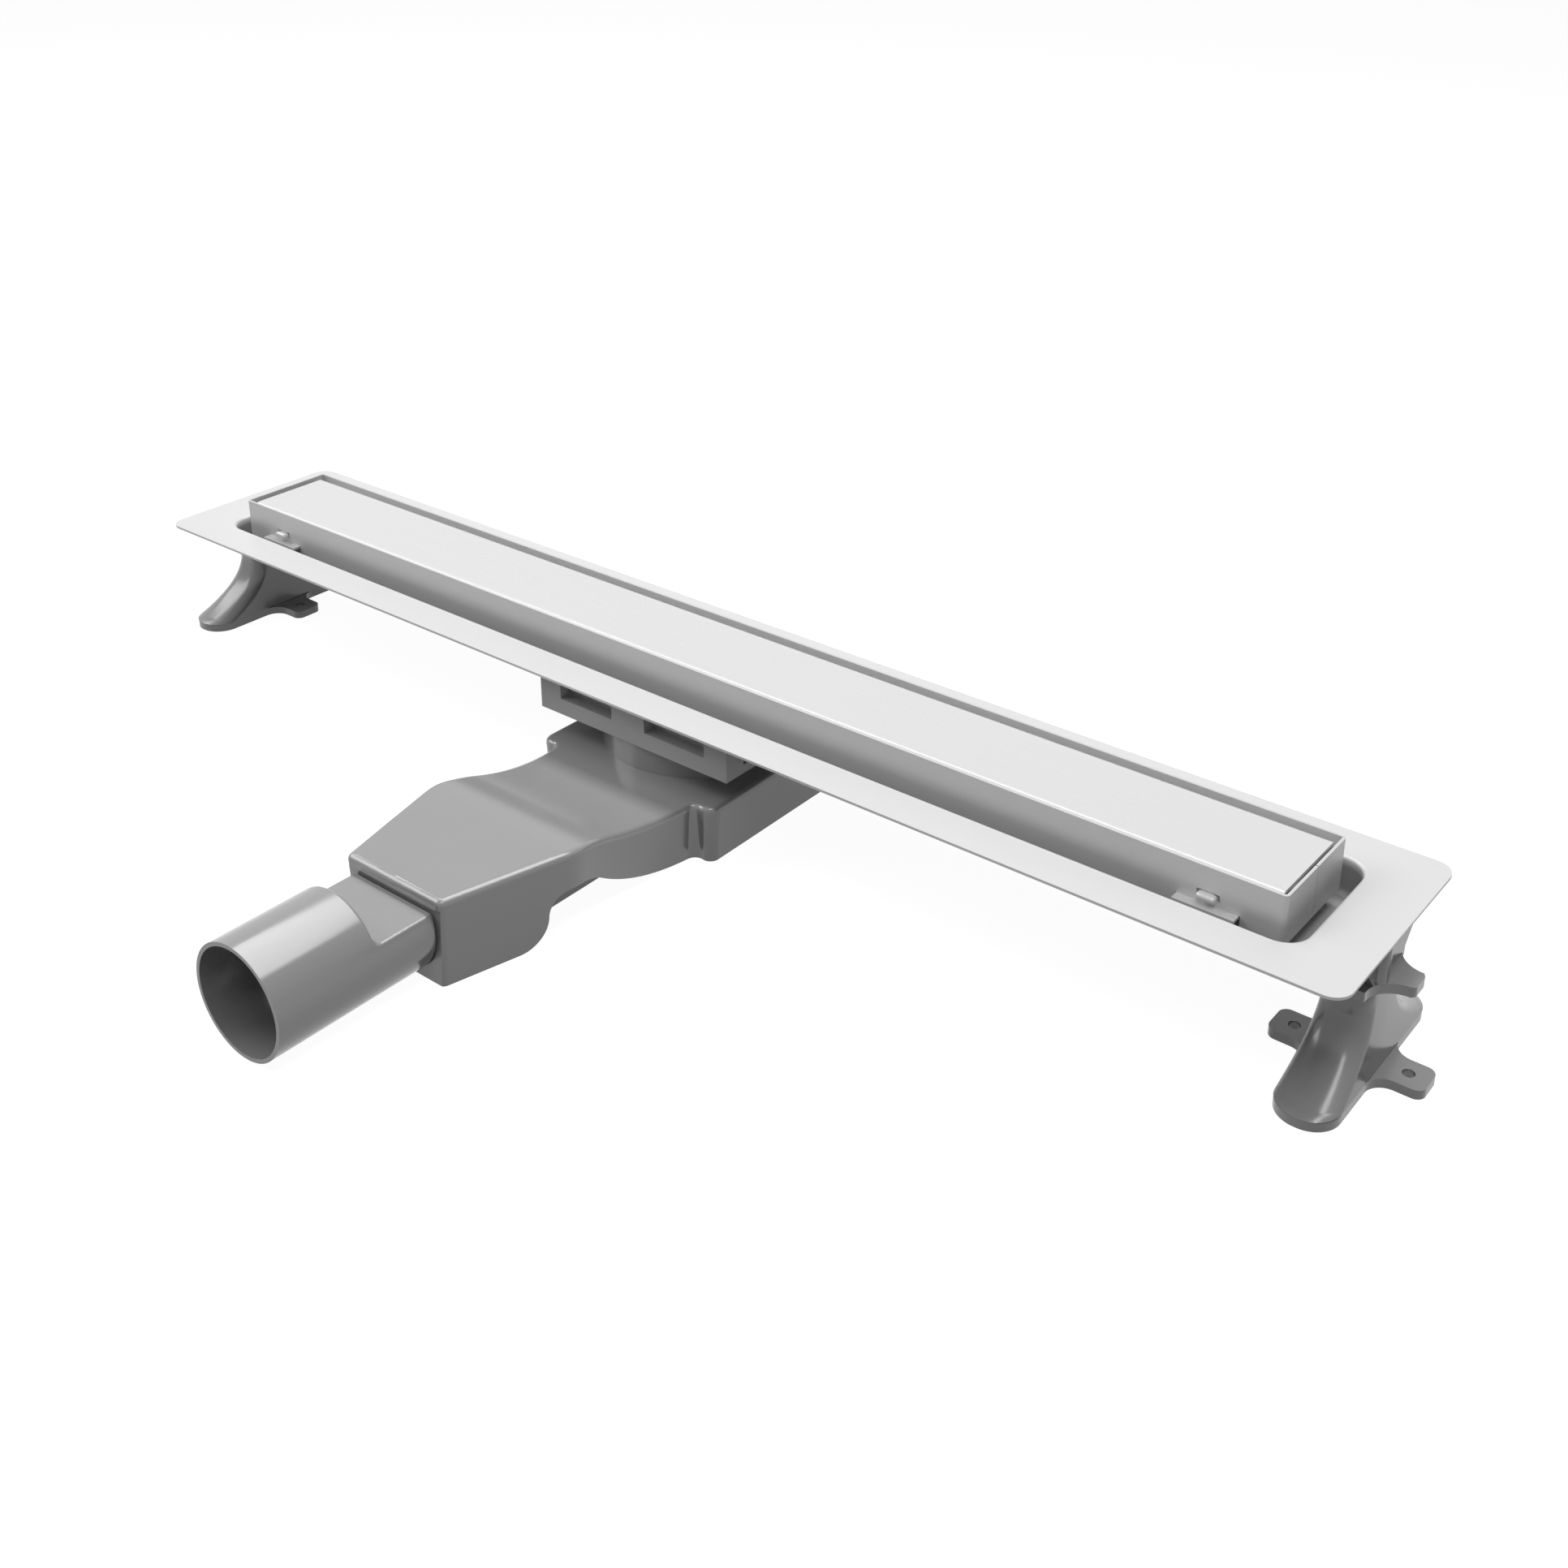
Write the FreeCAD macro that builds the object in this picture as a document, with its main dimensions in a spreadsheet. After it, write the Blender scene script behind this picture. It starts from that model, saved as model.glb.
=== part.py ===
import FreeCAD, Part
import math
import os
import Sketcher

# Linear shower drain, nominal 600 mm, with a low trap and a horizontal DN 50 outlet.
# The origin lies on the floor under the middle of the drain. X runs along the channel,
# -Y is the side of the outlet, +Z is up. All sizes are in millimetres.

SIZES = {
    # Channel: one thin stainless sheet with a flange around a shallow trough
    "flange_top": 62.5,
    "flange_end_width": 26,
    "flange_side_width": 20,
    "flange_corner": 8,
    "channel_sheet": 1.2,
    "trough_end_room": 8.5,
    "trough_side_room": 7.5,
    "opening_corner": 10.5,
    "trough_depth": 16.2,
    "lip_bend": 1.6,
    "floor_bend": 3.2,
    # Tile frame: two bent strips with a seam in the middle of each short end
    "frame_length": 611,
    "frame_width": 52,
    "frame_sheet": 1.2,
    "frame_bend": 1.8,
    "frame_rise": 13.8,
    "frame_drop": 8.4,
    "frame_seam": 0.5,
    "tab_length": 25.5,
    "tab_width": 4.2,
    "tab_drop": 2,
    "tab_slit": 0.5,
    # Cross bars under the cover, with tongues in the frame's windows
    "bar_inset": 30.7,
    "bar_rise": 2.4,
    "bar_sheet": 2,
    "bar_width": 16,
    "bar_clearance": 0.3,
    "tongue_width": 7.5,
    "tongue_length": 1.6,
    "window_side_play": 1,
    "window_top_play": 0.9,
    # Cover
    "cover_end_play": 2.8,
    "cover_side_play": 1.9,
    "cover_sheet": 1.5,
    "cover_bend": 2.4,
    "cover_rise": 13,
    "cover_shift_along": 1,
    "cover_shift_across": 1,
    # Levelling screws and their nuts
    "screw_radius": 2.5,
    "screw_spacing": 24,
    "screw_above_bar": 4,
    "screw_foot_radius": 5,
    "screw_foot_thickness": 2,
    "screw_clearance": 0.2,
    "nut_flats": 8,
    "nut_thickness": 4,
    # Mounting block under the trough
    "block_length": 114,
    "block_width": 93.4,
    "block_drop": 21.5,
    "block_clearance": 0.3,
    "pocket_depth": 6.5,
    "pocket_sill_drop": 13.4,
    "pocket_head_drop": 4.5,
    "pocket_outer_reach": 44.1,
    "pocket_left_pier": 11.6,
    "pocket_right_pier": 8.4,
    "seal_thickness": 2,
    "seal_radius": 34.4,
    "seal_clearance": 0.2,
    # Neck, clamp ring and what sits in them
    "neck_radius": 45.5,
    "sleeve_radius": 26.6,
    "sleeve_clearance": 0.3,
    "sleeve_wall": 2.4,
    "clamp_flange_radius": 30,
    "clamp_flange_thickness": 3,
    "insert_clearance": 1.4,
    "insert_wall": 1.6,
    "insert_rim_width": 3.4,
    "insert_rim_thickness": 1.6,
    "insert_foot_height": 8,
    "rim_clearance": 0.3,
    "ring_section_radius": 0.85,
    "ring_groove_depth": 0.35,
    "ring_height": 36,
    "strainer_thickness": 1.2,
    "strainer_hole_radius": 2.2,
    "strainer_inner_circle": 9,
    "strainer_outer_circle": 18,
    # Trap body
    "trap_front": 186.6,
    "duct_height": 41,
    "duct_front_half": 29.3,
    "duct_front_corner": 3.2,
    "duct_shoulder": 123.5,
    "duct_shoulder_radius": 29.6,
    "duct_root_half": 43.2,
    "waist_radius": 320,
    "waist_middle": 86.7,
    "notch_radius": 2,
    "base_half": 54,
    "base_height": 28,
    "post_radius": 7,
    "front_post_reach": 46.5,
    "crest_end": 134,
    "slope_end": 55,
    "crest_share": 0.368,
    "arch_start": 152,
    "arch_toe_radius": 13.5,
    "arch_crown_radius": 9.5,
    "arch_crown_run": 5,
    "arch_end": 51,
    "arch_share": 0.2,
    "keel_half": 20,
    "trap_wall": 2.5,
    "trap_edge": 2.6,
    "trap_draft": 2.6,
    "trap_front_draft": 0.4,
    "front_lip": 0.8,
    "front_lip_height": 4.4,
    "weir_height": 20,
    "weir_setback": 1.8,
    "duct_hollow_half": 33,
    # Outlet adaptor and pipe
    "pipe_radius": 25,
    "pipe_wall": 1.8,
    "pipe_axis_height": 25.2,
    "pipe_end": 262.3,
    "pipe_start": 214.5,
    "shank_flat_height": 34.2,
    "shank_edge": 1.4,
    "shank_step_round": 3,
    "spigot_corner": 3,
    "adaptor_gap": 0.3,
    "spigot_inset": 3.5,
    "spigot_length": 8,
    "spigot_wall": 1.8,
    "seal_ring_thickness": 1,
    # Feet and brackets
    "foot_inset": 13.6,
    "foot_plate": 4,
    "foot_half_length": 49.4,
    "foot_half_width": 12.6,
    "foot_ridge_half_width": 10,
    "foot_neck_half_length": 15.4,
    "foot_toe_corner": 12.1,
    "foot_neck_corner": 7,
    "foot_height": 40.3,
    "foot_wall": 2.8,
    "foot_end_wall": 4.5,
    "ear_reach": 31,
    "ear_half_width": 8,
    "ear_corner": 4,
    "ear_fillet": 8,
    "ear_hole_radius": 2.5,
    "ear_hole_reach": 22.6,
    "bracket_plate": 4.3,
    "bracket_half_length": 19.2,
    "bracket_end_corner": 0.8,
    "bracket_half_width": 8.8,
    "bracket_ear_reach": 22.2,
    "bracket_ear_half_width": 5.6,
    "bracket_ear_corner": 2.4,
    "bracket_ear_fillet": 12.4,
    "fan_half_depth": 9.8,
    "fan_foot_half": 13.6,
    "fan_top_half": 28.3,
    "fan_wall": 2.5,
    "fan_side_wall": 3,
    "boss_radius": 3.7,
    "boss_forward": 7.9,
    "boss_inset": 0.6,
    "foot_screw_radius": 2.4,
    "foot_screw_head_radius": 4.4,
    "foot_screw_head": 3,
    "foot_screw_reach": 10,
    "screw_boss_wall": 2,
}

doc = FreeCAD.newDocument("shower_drain")
sheet = doc.addObject("Spreadsheet::Sheet", "Sizes")


class Size:
    """A size that knows both its value and the spreadsheet formula that gives it."""

    def __init__(self, value, formula):
        self.value = float(value)
        self.formula = formula

    def __add__(self, other):
        other = as_size(other)
        return Size(self.value + other.value, f"({self.formula} + {other.formula})")

    def __sub__(self, other):
        other = as_size(other)
        return Size(self.value - other.value, f"({self.formula} - {other.formula})")

    def __mul__(self, other):
        other = as_size(other)
        return Size(self.value * other.value, f"({self.formula} * {other.formula})")

    def __truediv__(self, other):
        other = as_size(other)
        return Size(self.value / other.value, f"({self.formula} / {other.formula})")

    def root(self):
        return Size(math.sqrt(self.value), f"sqrt({self.formula})")

    def __neg__(self):
        return Size(-self.value, f"(-1 * {self.formula})")

    def __radd__(self, other):
        return as_size(other) + self

    def __rsub__(self, other):
        return as_size(other) - self

    def __rmul__(self, other):
        return as_size(other) * self


def as_size(number):
    """The number as a Size; a plain number becomes its own formula."""
    return number if isinstance(number, Size) else Size(number, f"({float(number)})")


class Book:
    """Writes the driving sizes into the sheet and gives each one back as a Size."""

    def __init__(self, sizes):
        for row, (name, value) in enumerate(sizes.items(), start=1):
            sheet.set(f"A{row}", name)
            sheet.set(f"B{row}", str(value))
            sheet.setAlias(f"B{row}", name)
            setattr(self, name, Size(value, f"Sizes.{name}"))


S = Book(SIZES)
doc.recompute()


def bind(thing, path, size):
    """Ties one property of an object to the sheet."""
    thing.setExpression(path, as_size(size).formula)


# Sketches, pads and pockets

PLANES = {"XY": ("XY_Plane", 1), "YZ": ("YZ_Plane", 1), "XZ": ("XZ_Plane", -1)}


def new_body(label):
    body = doc.addObject("PartDesign::Body", label)
    body.Label = label
    return body


def new_sketch(body, name, plane, level):
    """A sketch on one of the body's origin planes, moved to a level along that plane's axis."""
    role, sign = PLANES[plane]
    sketch = body.newObject("Sketcher::SketchObject", name + "_sketch")
    origin_plane = [item for item in body.Origin.OriginFeatures if item.Role == role][0]
    sketch.AttachmentSupport = [(origin_plane, "")]
    sketch.MapMode = "FlatFace"
    bind(sketch, "AttachmentOffset.Base.z", as_size(level) * sign)
    return sketch


def fix_point(sketch, geometry, vertex, x, y):
    for kind, size in (("DistanceX", x), ("DistanceY", y)):
        size = as_size(size)
        index = sketch.addConstraint(Sketcher.Constraint(kind, geometry, vertex, size.value))
        bind(sketch, f"Constraints[{index}]", size)


def fix_radius(sketch, geometry, radius):
    index = sketch.addConstraint(Sketcher.Constraint("Radius", geometry, as_size(radius).value))
    bind(sketch, f"Constraints[{index}]", radius)


def draw_loop(sketch, corners):
    """Draws one closed outline. A corner is (x, y) where a straight edge leaves it, and
    (x, y, radius, turn) where an arc does, turning "left" or "right"."""
    ends = []
    for index, corner in enumerate(corners):
        after = corners[(index + 1) % len(corners)]
        here = FreeCAD.Vector(as_size(corner[0]).value, as_size(corner[1]).value, 0)
        there = FreeCAD.Vector(as_size(after[0]).value, as_size(after[1]).value, 0)
        if len(corner) == 2:
            geometry = sketch.addGeometry(Part.LineSegment(here, there), False)
            ends.append((geometry, 1, 2))
            continue
        radius = as_size(corner[2]).value
        side = 1 if corner[3] == "left" else -1
        chord = there - here
        rise = math.sqrt(max(radius**2 - (chord.Length / 2) ** 2, 0))
        across = FreeCAD.Vector(-chord.y, chord.x, 0).normalize() * side
        centre = (here + there) / 2 + across * rise
        first, last = (here, there) if side > 0 else (there, here)
        start = math.atan2(first.y - centre.y, first.x - centre.x)
        stop = math.atan2(last.y - centre.y, last.x - centre.x)
        stop = stop if stop > start else stop + 2 * math.pi
        circle = Part.Circle(centre, FreeCAD.Vector(0, 0, 1), radius)
        geometry = sketch.addGeometry(Part.ArcOfCircle(circle, start, stop), False)
        ends.append((geometry, 1, 2) if side > 0 else (geometry, 2, 1))
    for index, (geometry, head, tail) in enumerate(ends):
        next_geometry, next_head, next_tail = ends[(index + 1) % len(ends)]
        sketch.addConstraint(Sketcher.Constraint("Coincident", geometry, tail, next_geometry, next_head))
    for corner, (geometry, head, tail) in zip(corners, ends):
        fix_point(sketch, geometry, head, corner[0], corner[1])
        if len(corner) == 4:
            fix_radius(sketch, geometry, corner[2])


def draw_circle(sketch, x, y, radius):
    centre = FreeCAD.Vector(as_size(x).value, as_size(y).value, 0)
    circle = Part.Circle(centre, FreeCAD.Vector(0, 0, 1), as_size(radius).value)
    geometry = sketch.addGeometry(circle, False)
    fix_point(sketch, geometry, 3, x, y)
    fix_radius(sketch, geometry, radius)


def extrude(kind, body, name, plane, start, end, loops=(), circles=()):
    """A pad or pocket of the loops and circles between two levels of the plane's axis."""
    sign = PLANES[plane][1]
    leads = (kind == "Pad") == (sign > 0)
    sketch = new_sketch(body, name, plane, start if leads else end)
    for loop in loops:
        draw_loop(sketch, loop)
    for circle in circles:
        draw_circle(sketch, *circle)
    feature = body.newObject(f"PartDesign::{kind}", name)
    feature.Profile = sketch
    feature.Length = (as_size(end) - start).value
    bind(feature, "Length", as_size(end) - start)
    return feature


def pad(body, name, plane, start, end, loops=(), circles=()):
    return extrude("Pad", body, name, plane, start, end, loops, circles)


def pocket(body, name, plane, start, end, loops=(), circles=()):
    return extrude("Pocket", body, name, plane, start, end, loops, circles)


def round_edges(body, name, radius, chosen):
    """Rounds those edges of the body for which the test is true."""
    doc.recompute()
    base = body.Tip
    names = [f"Edge{number}" for number, edge in enumerate(base.Shape.Edges, start=1) if chosen(edge)]
    fillet = body.newObject("PartDesign::Fillet", name)
    fillet.Base = (base, names)
    fillet.Radius = as_size(radius).value
    bind(fillet, "Radius", radius)
    return fillet


def level_edges(height):
    """A test that picks the edges lying flat at one height."""
    level = as_size(height).value

    def chosen(edge):
        box = edge.BoundBox
        return abs(box.ZMin - level) < TOUCH and abs(box.ZMax - level) < TOUCH

    return chosen


def rectangle(left, right, low, high):
    return [(left, low), (right, low), (right, high), (left, high)]


def round_rectangle(half_x, half_y, corner):
    """A rectangle about the origin with round corners, counter-clockwise."""
    in_x = half_x - corner
    in_y = half_y - corner
    return [
        (-in_x, -half_y),
        (in_x, -half_y, corner, "left"),
        (half_x, -in_y),
        (half_x, in_y, corner, "left"),
        (in_x, half_y),
        (-in_x, half_y, corner, "left"),
        (-half_x, in_y),
        (-half_x, -in_y, corner, "left"),
    ]


def mirrored(corners):
    """The same outline mirrored across the second axis of its plane: low becomes high."""
    flipped = []
    for corner in corners:
        if len(corner) == 2:
            flipped.append((corner[0], -as_size(corner[1])))
        else:
            turn = "right" if corner[3] == "left" else "left"
            flipped.append((corner[0], -as_size(corner[1]), corner[2], turn))
    return flipped


def whole_outline(half):
    """Closes an outline given on the right (x above 0) with its mirror image on the left."""
    steps = [corner[2:] for corner in half]
    left = []
    for index in range(len(half) - 2, 0, -1):
        corner = half[index]
        left.append((-as_size(corner[0]), corner[1]) + tuple(steps[index - 1]))
    top = (half[-1][0], half[-1][1]) + tuple(steps[-2])
    return list(half[:-1]) + [top] + left


NODES = {}
TOUCH = 1e-4


def keep(node, thing):
    """Registers a finished sub-part under its node's name."""
    thing.Label = node
    NODES[node] = thing
    return thing


# Lengths that follow the tile frame, and levels shared by pieces that stack on each other

opening_length = S.frame_length + S.trough_end_room * 2
opening_width = S.frame_width + S.trough_side_room * 2
flange_length = opening_length + S.flange_end_width * 2
flange_width = opening_width + S.flange_side_width * 2
cover_length = S.frame_length - (S.frame_sheet + S.cover_end_play) * 2
cover_width = S.frame_width - (S.frame_sheet + S.cover_side_play) * 2
bar_reach = S.frame_length / 2 - S.bar_inset
foot_reach = flange_length / 2 - S.foot_inset
flange_under = S.flange_top - S.channel_sheet
trough_floor = S.flange_top - S.trough_depth
trough_under = trough_floor - S.channel_sheet
trough_outer_half = opening_width / 2 + S.channel_sheet
frame_top = S.flange_top + S.frame_rise
frame_bottom = S.flange_top - S.frame_drop
bar_top = S.flange_top + S.bar_rise
bar_bottom = bar_top - S.bar_sheet
block_bottom = S.flange_top - S.block_drop
sleeve_hole = S.sleeve_radius + S.sleeve_clearance


# Channel body: the flange plate, the trough pressed down from it and the outlet hole

channel = keep("channel_body", new_body("channel_body"))
pad(
    channel, "flange", "XY", flange_under, S.flange_top,
    [round_rectangle(flange_length / 2, flange_width / 2, S.flange_corner)],
)
pad(
    channel, "trough_shell", "XY", trough_under, S.flange_top,
    [round_rectangle(
        opening_length / 2 + S.channel_sheet, trough_outer_half, S.opening_corner + S.channel_sheet,
    )],
)
pocket(
    channel, "trough_space", "XY", trough_floor, S.flange_top,
    [round_rectangle(opening_length / 2, opening_width / 2, S.opening_corner)],
)


def opening_rim(edge):
    box = edge.BoundBox
    level = S.flange_top.value
    inside = max(abs(box.YMin), abs(box.YMax)) < flange_width.value / 2 - S.channel_sheet.value
    return inside and abs(box.ZMin - level) < TOUCH and abs(box.ZMax - level) < TOUCH and (
        max(abs(box.XMin), abs(box.XMax)) <= opening_length.value / 2 + TOUCH
    )


round_edges(channel, "lip_bend_round", S.lip_bend, opening_rim)
round_edges(channel, "floor_bend_inside", S.floor_bend, level_edges(trough_floor))
round_edges(channel, "floor_bend_outside", S.floor_bend + S.channel_sheet, level_edges(trough_under))
pocket(
    channel, "outlet_hole", "XY", trough_under, trough_floor,
    circles=[(0, 0, sleeve_hole)],
)


# Tile frame: each half is one bent strip with a window and an anchor tab near each end

def frame_half(node, side):
    """side is -1 for the half on the outlet's side and 1 for the other half."""
    body = keep(node, new_body(node))
    half_x = S.frame_length / 2
    half_y = S.frame_width / 2
    sheet_x = half_x - S.frame_sheet
    bend_x = half_x - S.frame_bend
    bend_y = half_y - S.frame_bend
    seam = S.frame_seam / 2
    inner_bend = S.frame_bend - S.frame_sheet
    strip = [
        (-half_x, -seam),
        (-half_x, -bend_y, S.frame_bend, "left"),
        (-bend_x, -half_y),
        (bend_x, -half_y, S.frame_bend, "left"),
        (half_x, -bend_y),
        (half_x, -seam),
        (sheet_x, -seam),
        (sheet_x, -bend_y, inner_bend, "right"),
        (bend_x, -(half_y - S.frame_sheet)),
        (-bend_x, -(half_y - S.frame_sheet), inner_bend, "right"),
        (-sheet_x, -bend_y),
        (-sheet_x, -seam),
    ]
    strip = strip if side < 0 else mirrored(strip)
    pad(body, node + "_strip", "XY", frame_bottom, frame_top, [strip])
    wall = (-half_y, -(half_y - S.frame_sheet)) if side < 0 else (half_y - S.frame_sheet, half_y)
    window_half = S.tongue_width / 2 + S.window_side_play
    notch_half = S.tab_length / 2 + S.tab_slit
    tab_top = S.flange_top - S.tab_drop
    windows = []
    notches = []
    for end in (-1, 1):
        middle = bar_reach * end
        windows.append(
            rectangle(middle - window_half, middle + window_half, bar_bottom, bar_top + S.window_top_play)
        )
        notches.append(rectangle(middle - notch_half, middle + notch_half, frame_bottom, tab_top))
    pocket(body, node + "_windows", "XZ", wall[0], wall[1], windows)
    pocket(body, node + "_notches", "XZ", wall[0], wall[1], notches)
    for end, name in ((-1, "_tab_left"), (1, "_tab_right")):
        middle = bar_reach * end
        tab = rectangle(
            middle - S.tab_length / 2, middle + S.tab_length / 2,
            -(half_y + S.tab_width), -(half_y - S.frame_sheet),
        )
        tab = tab if side < 0 else mirrored(tab)
        pad(body, node + name, "XY", tab_top - S.frame_sheet, tab_top, [tab])


frame_half("frame_front_half", -1)
frame_half("frame_back_half", 1)


# Cover: a folded plate with round long edges, resting on the cross bars

cover = keep("cover_plate", new_body("cover_plate"))
cover_top = S.flange_top + S.cover_rise
cover_front = -cover_width / 2 - S.cover_shift_across
cover_back = cover_width / 2 - S.cover_shift_across
cover_inner_bend = S.cover_bend - S.cover_sheet
pad(
    cover, "folded_plate", "YZ",
    S.cover_shift_along - cover_length / 2, S.cover_shift_along + cover_length / 2,
    [[
        (cover_front, bar_top),
        (cover_front + S.cover_sheet, bar_top),
        (cover_front + S.cover_sheet, cover_top - S.cover_bend, cover_inner_bend, "right"),
        (cover_front + S.cover_bend, cover_top - S.cover_sheet),
        (cover_back - S.cover_bend, cover_top - S.cover_sheet, cover_inner_bend, "right"),
        (cover_back - S.cover_sheet, cover_top - S.cover_bend),
        (cover_back - S.cover_sheet, bar_top),
        (cover_back, bar_top),
        (cover_back, cover_top - S.cover_bend, S.cover_bend, "left"),
        (cover_back - S.cover_bend, cover_top),
        (cover_front + S.cover_bend, cover_top, S.cover_bend, "left"),
        (cover_front, cover_top - S.cover_bend),
    ]],
)


# Cross bars: flat strips whose tongues reach through the frame's windows

screw_hole = S.screw_radius + S.screw_clearance


def support_bar(node, end):
    body = keep(node, new_body(node))
    middle = bar_reach * end
    half = S.bar_width / 2
    tongue = S.tongue_width / 2
    shoulder = S.frame_width / 2 - S.frame_sheet - S.bar_clearance
    tip = S.frame_width / 2 + S.tongue_length
    outline = [
        (middle - half, -shoulder), (middle - tongue, -shoulder),
        (middle - tongue, -tip), (middle + tongue, -tip),
        (middle + tongue, -shoulder), (middle + half, -shoulder),
        (middle + half, shoulder), (middle + tongue, shoulder),
        (middle + tongue, tip), (middle - tongue, tip),
        (middle - tongue, shoulder), (middle - half, shoulder),
    ]
    pad(body, node + "_strip", "XY", bar_bottom, bar_top, [outline])
    pocket(
        body, node + "_holes", "XY", bar_bottom, bar_top,
        circles=[(middle, S.screw_spacing / 2 * side, screw_hole) for side in (-1, 1)],
    )


support_bar("support_bar_left", -1)
support_bar("support_bar_right", 1)


# Levelling screws and nuts: four of each, standing on the trough floor

def cylinder(name, radius, low, high, x=0, y=0):
    """An upright Part cylinder between two heights."""
    rod = doc.addObject("Part::Cylinder", name)
    bind(rod, "Radius", radius)
    bind(rod, "Height", as_size(high) - low)
    bind(rod, "Placement.Base.x", x)
    bind(rod, "Placement.Base.y", y)
    bind(rod, "Placement.Base.z", low)
    return rod


def joined(name, *things):
    union = doc.addObject("Part::MultiFuse", name)
    union.Shapes = list(things)
    return union


def without(name, base, tool):
    cut = doc.addObject("Part::Cut", name)
    cut.Base = base
    cut.Tool = tool
    return cut


def grouped(node, things):
    """Identical fasteners, kept as separate solids of one node."""
    group = doc.addObject("Part::Compound", node)
    group.Links = list(things)
    return keep(node, group)


screws = []
nuts = []
for number, (end, side) in enumerate(((-1, -1), (-1, 1), (1, -1), (1, 1)), start=1):
    x = bar_reach * end
    y = S.screw_spacing / 2 * side
    foot_top = trough_floor + S.screw_foot_thickness
    foot = cylinder(f"screw_foot_{number}", S.screw_foot_radius, trough_floor, foot_top, x, y)
    shank = cylinder(
        f"screw_shank_{number}", S.screw_radius, foot_top, bar_top + S.screw_above_bar, x, y,
    )
    screws.append(joined(f"levelling_screw_{number}", foot, shank))
    hexagon = doc.addObject("Part::Prism", f"nut_blank_{number}")
    hexagon.Polygon = 6
    bind(hexagon, "Circumradius", S.nut_flats / math.sqrt(3))
    bind(hexagon, "Height", S.nut_thickness)
    bind(hexagon, "Placement.Base.x", x)
    bind(hexagon, "Placement.Base.y", y)
    bind(hexagon, "Placement.Base.z", bar_bottom - S.nut_thickness)
    bore = cylinder(
        f"nut_bore_{number}", S.screw_radius, bar_bottom - S.nut_thickness, bar_bottom, x, y,
    )
    nuts.append(without(f"levelling_nut_{number}", hexagon, bore))
grouped("levelling_screws", screws)
grouped("levelling_nuts", nuts)


# Mounting block: a saddle around the trough, pocketed front and back, clamped by the neck

block = keep("mounting_block", new_body("mounting_block"))
block_half_x = S.block_length / 2
block_half_y = S.block_width / 2
saddle_half = trough_outer_half + S.block_clearance
seal_bottom = trough_under - S.seal_thickness
pad(
    block, "block", "XY", block_bottom, flange_under,
    [rectangle(-block_half_x, block_half_x, -block_half_y, block_half_y)],
)
pocket(
    block, "saddle", "XY", trough_under, flange_under,
    [rectangle(-block_half_x, block_half_x, -saddle_half, saddle_half)],
)
pocket(
    block, "seal_seat", "XY", seal_bottom, trough_under,
    circles=[(0, 0, S.seal_radius + S.seal_clearance)],
)
pocket(block, "sleeve_bore", "XY", block_bottom, seal_bottom, circles=[(0, 0, sleeve_hole)])
pocket_low = S.flange_top - S.pocket_sill_drop
pocket_high = S.flange_top - S.pocket_head_drop
pocket_shapes = [
    rectangle(-S.pocket_outer_reach, -S.pocket_left_pier, pocket_low, pocket_high),
    rectangle(S.pocket_right_pier, S.pocket_outer_reach, pocket_low, pocket_high),
]
pocket(block, "front_pockets", "XZ", -block_half_y, S.pocket_depth - block_half_y, pocket_shapes)
pocket(block, "back_pockets", "XZ", block_half_y - S.pocket_depth, block_half_y, pocket_shapes)


# Floor seal, neck ring, clamp ring, insert, its ring and the strainer: turned about the drain's middle

def ring(node, outer, inner, low, high):
    """A plain ring between two heights."""
    body = keep(node, new_body(node))
    pad(body, node + "_ring", "XY", low, high, circles=[(0, 0, outer), (0, 0, inner)])
    return body


ring("floor_seal", S.seal_radius, sleeve_hole, seal_bottom, trough_under)
ring("neck_ring", S.neck_radius, sleeve_hole, S.base_height, block_bottom)


def turned(node, profile):
    """A solid of revolution from a half profile of (radius, height) corners."""
    body = keep(node, new_body(node))
    sketch = new_sketch(body, node, "XZ", 0)
    draw_loop(sketch, profile)
    feature = body.newObject("PartDesign::Revolution", node + "_turned")
    feature.Profile = sketch
    feature.ReferenceAxis = (sketch, ["V_Axis"])
    feature.Angle = 360
    return body


sleeve_bore = S.sleeve_radius - S.sleeve_wall
insert_radius = sleeve_bore - S.insert_clearance
rim_radius = insert_radius + S.insert_rim_width
clamp_top = trough_floor + S.clamp_flange_thickness
rim_low = clamp_top - S.insert_rim_thickness
turned("clamp_ring", [
    (sleeve_bore, S.base_height - S.trap_wall),
    (S.sleeve_radius, S.base_height - S.trap_wall),
    (S.sleeve_radius, trough_floor),
    (S.clamp_flange_radius, trough_floor),
    (S.clamp_flange_radius, clamp_top),
    (rim_radius + S.rim_clearance, clamp_top),
    (rim_radius + S.rim_clearance, rim_low),
    (sleeve_bore, rim_low),
])
groove_low = S.ring_height - S.ring_section_radius
groove_high = S.ring_height + S.ring_section_radius
turned("trap_insert", [
    (insert_radius - S.insert_wall, S.insert_foot_height),
    (insert_radius, S.insert_foot_height),
    (insert_radius, groove_low),
    (insert_radius - S.ring_groove_depth, groove_low),
    (insert_radius - S.ring_groove_depth, groove_high),
    (insert_radius, groove_high),
    (insert_radius, rim_low),
    (rim_radius, rim_low),
    (rim_radius, clamp_top),
    (insert_radius - S.insert_wall, clamp_top),
])
o_ring = doc.addObject("Part::Torus", "insert_o_ring")
bind(o_ring, "Radius1", insert_radius - S.ring_groove_depth + S.ring_section_radius)
bind(o_ring, "Radius2", S.ring_section_radius)
bind(o_ring, "Placement.Base.z", S.ring_height)
keep("insert_o_ring", o_ring)

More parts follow.
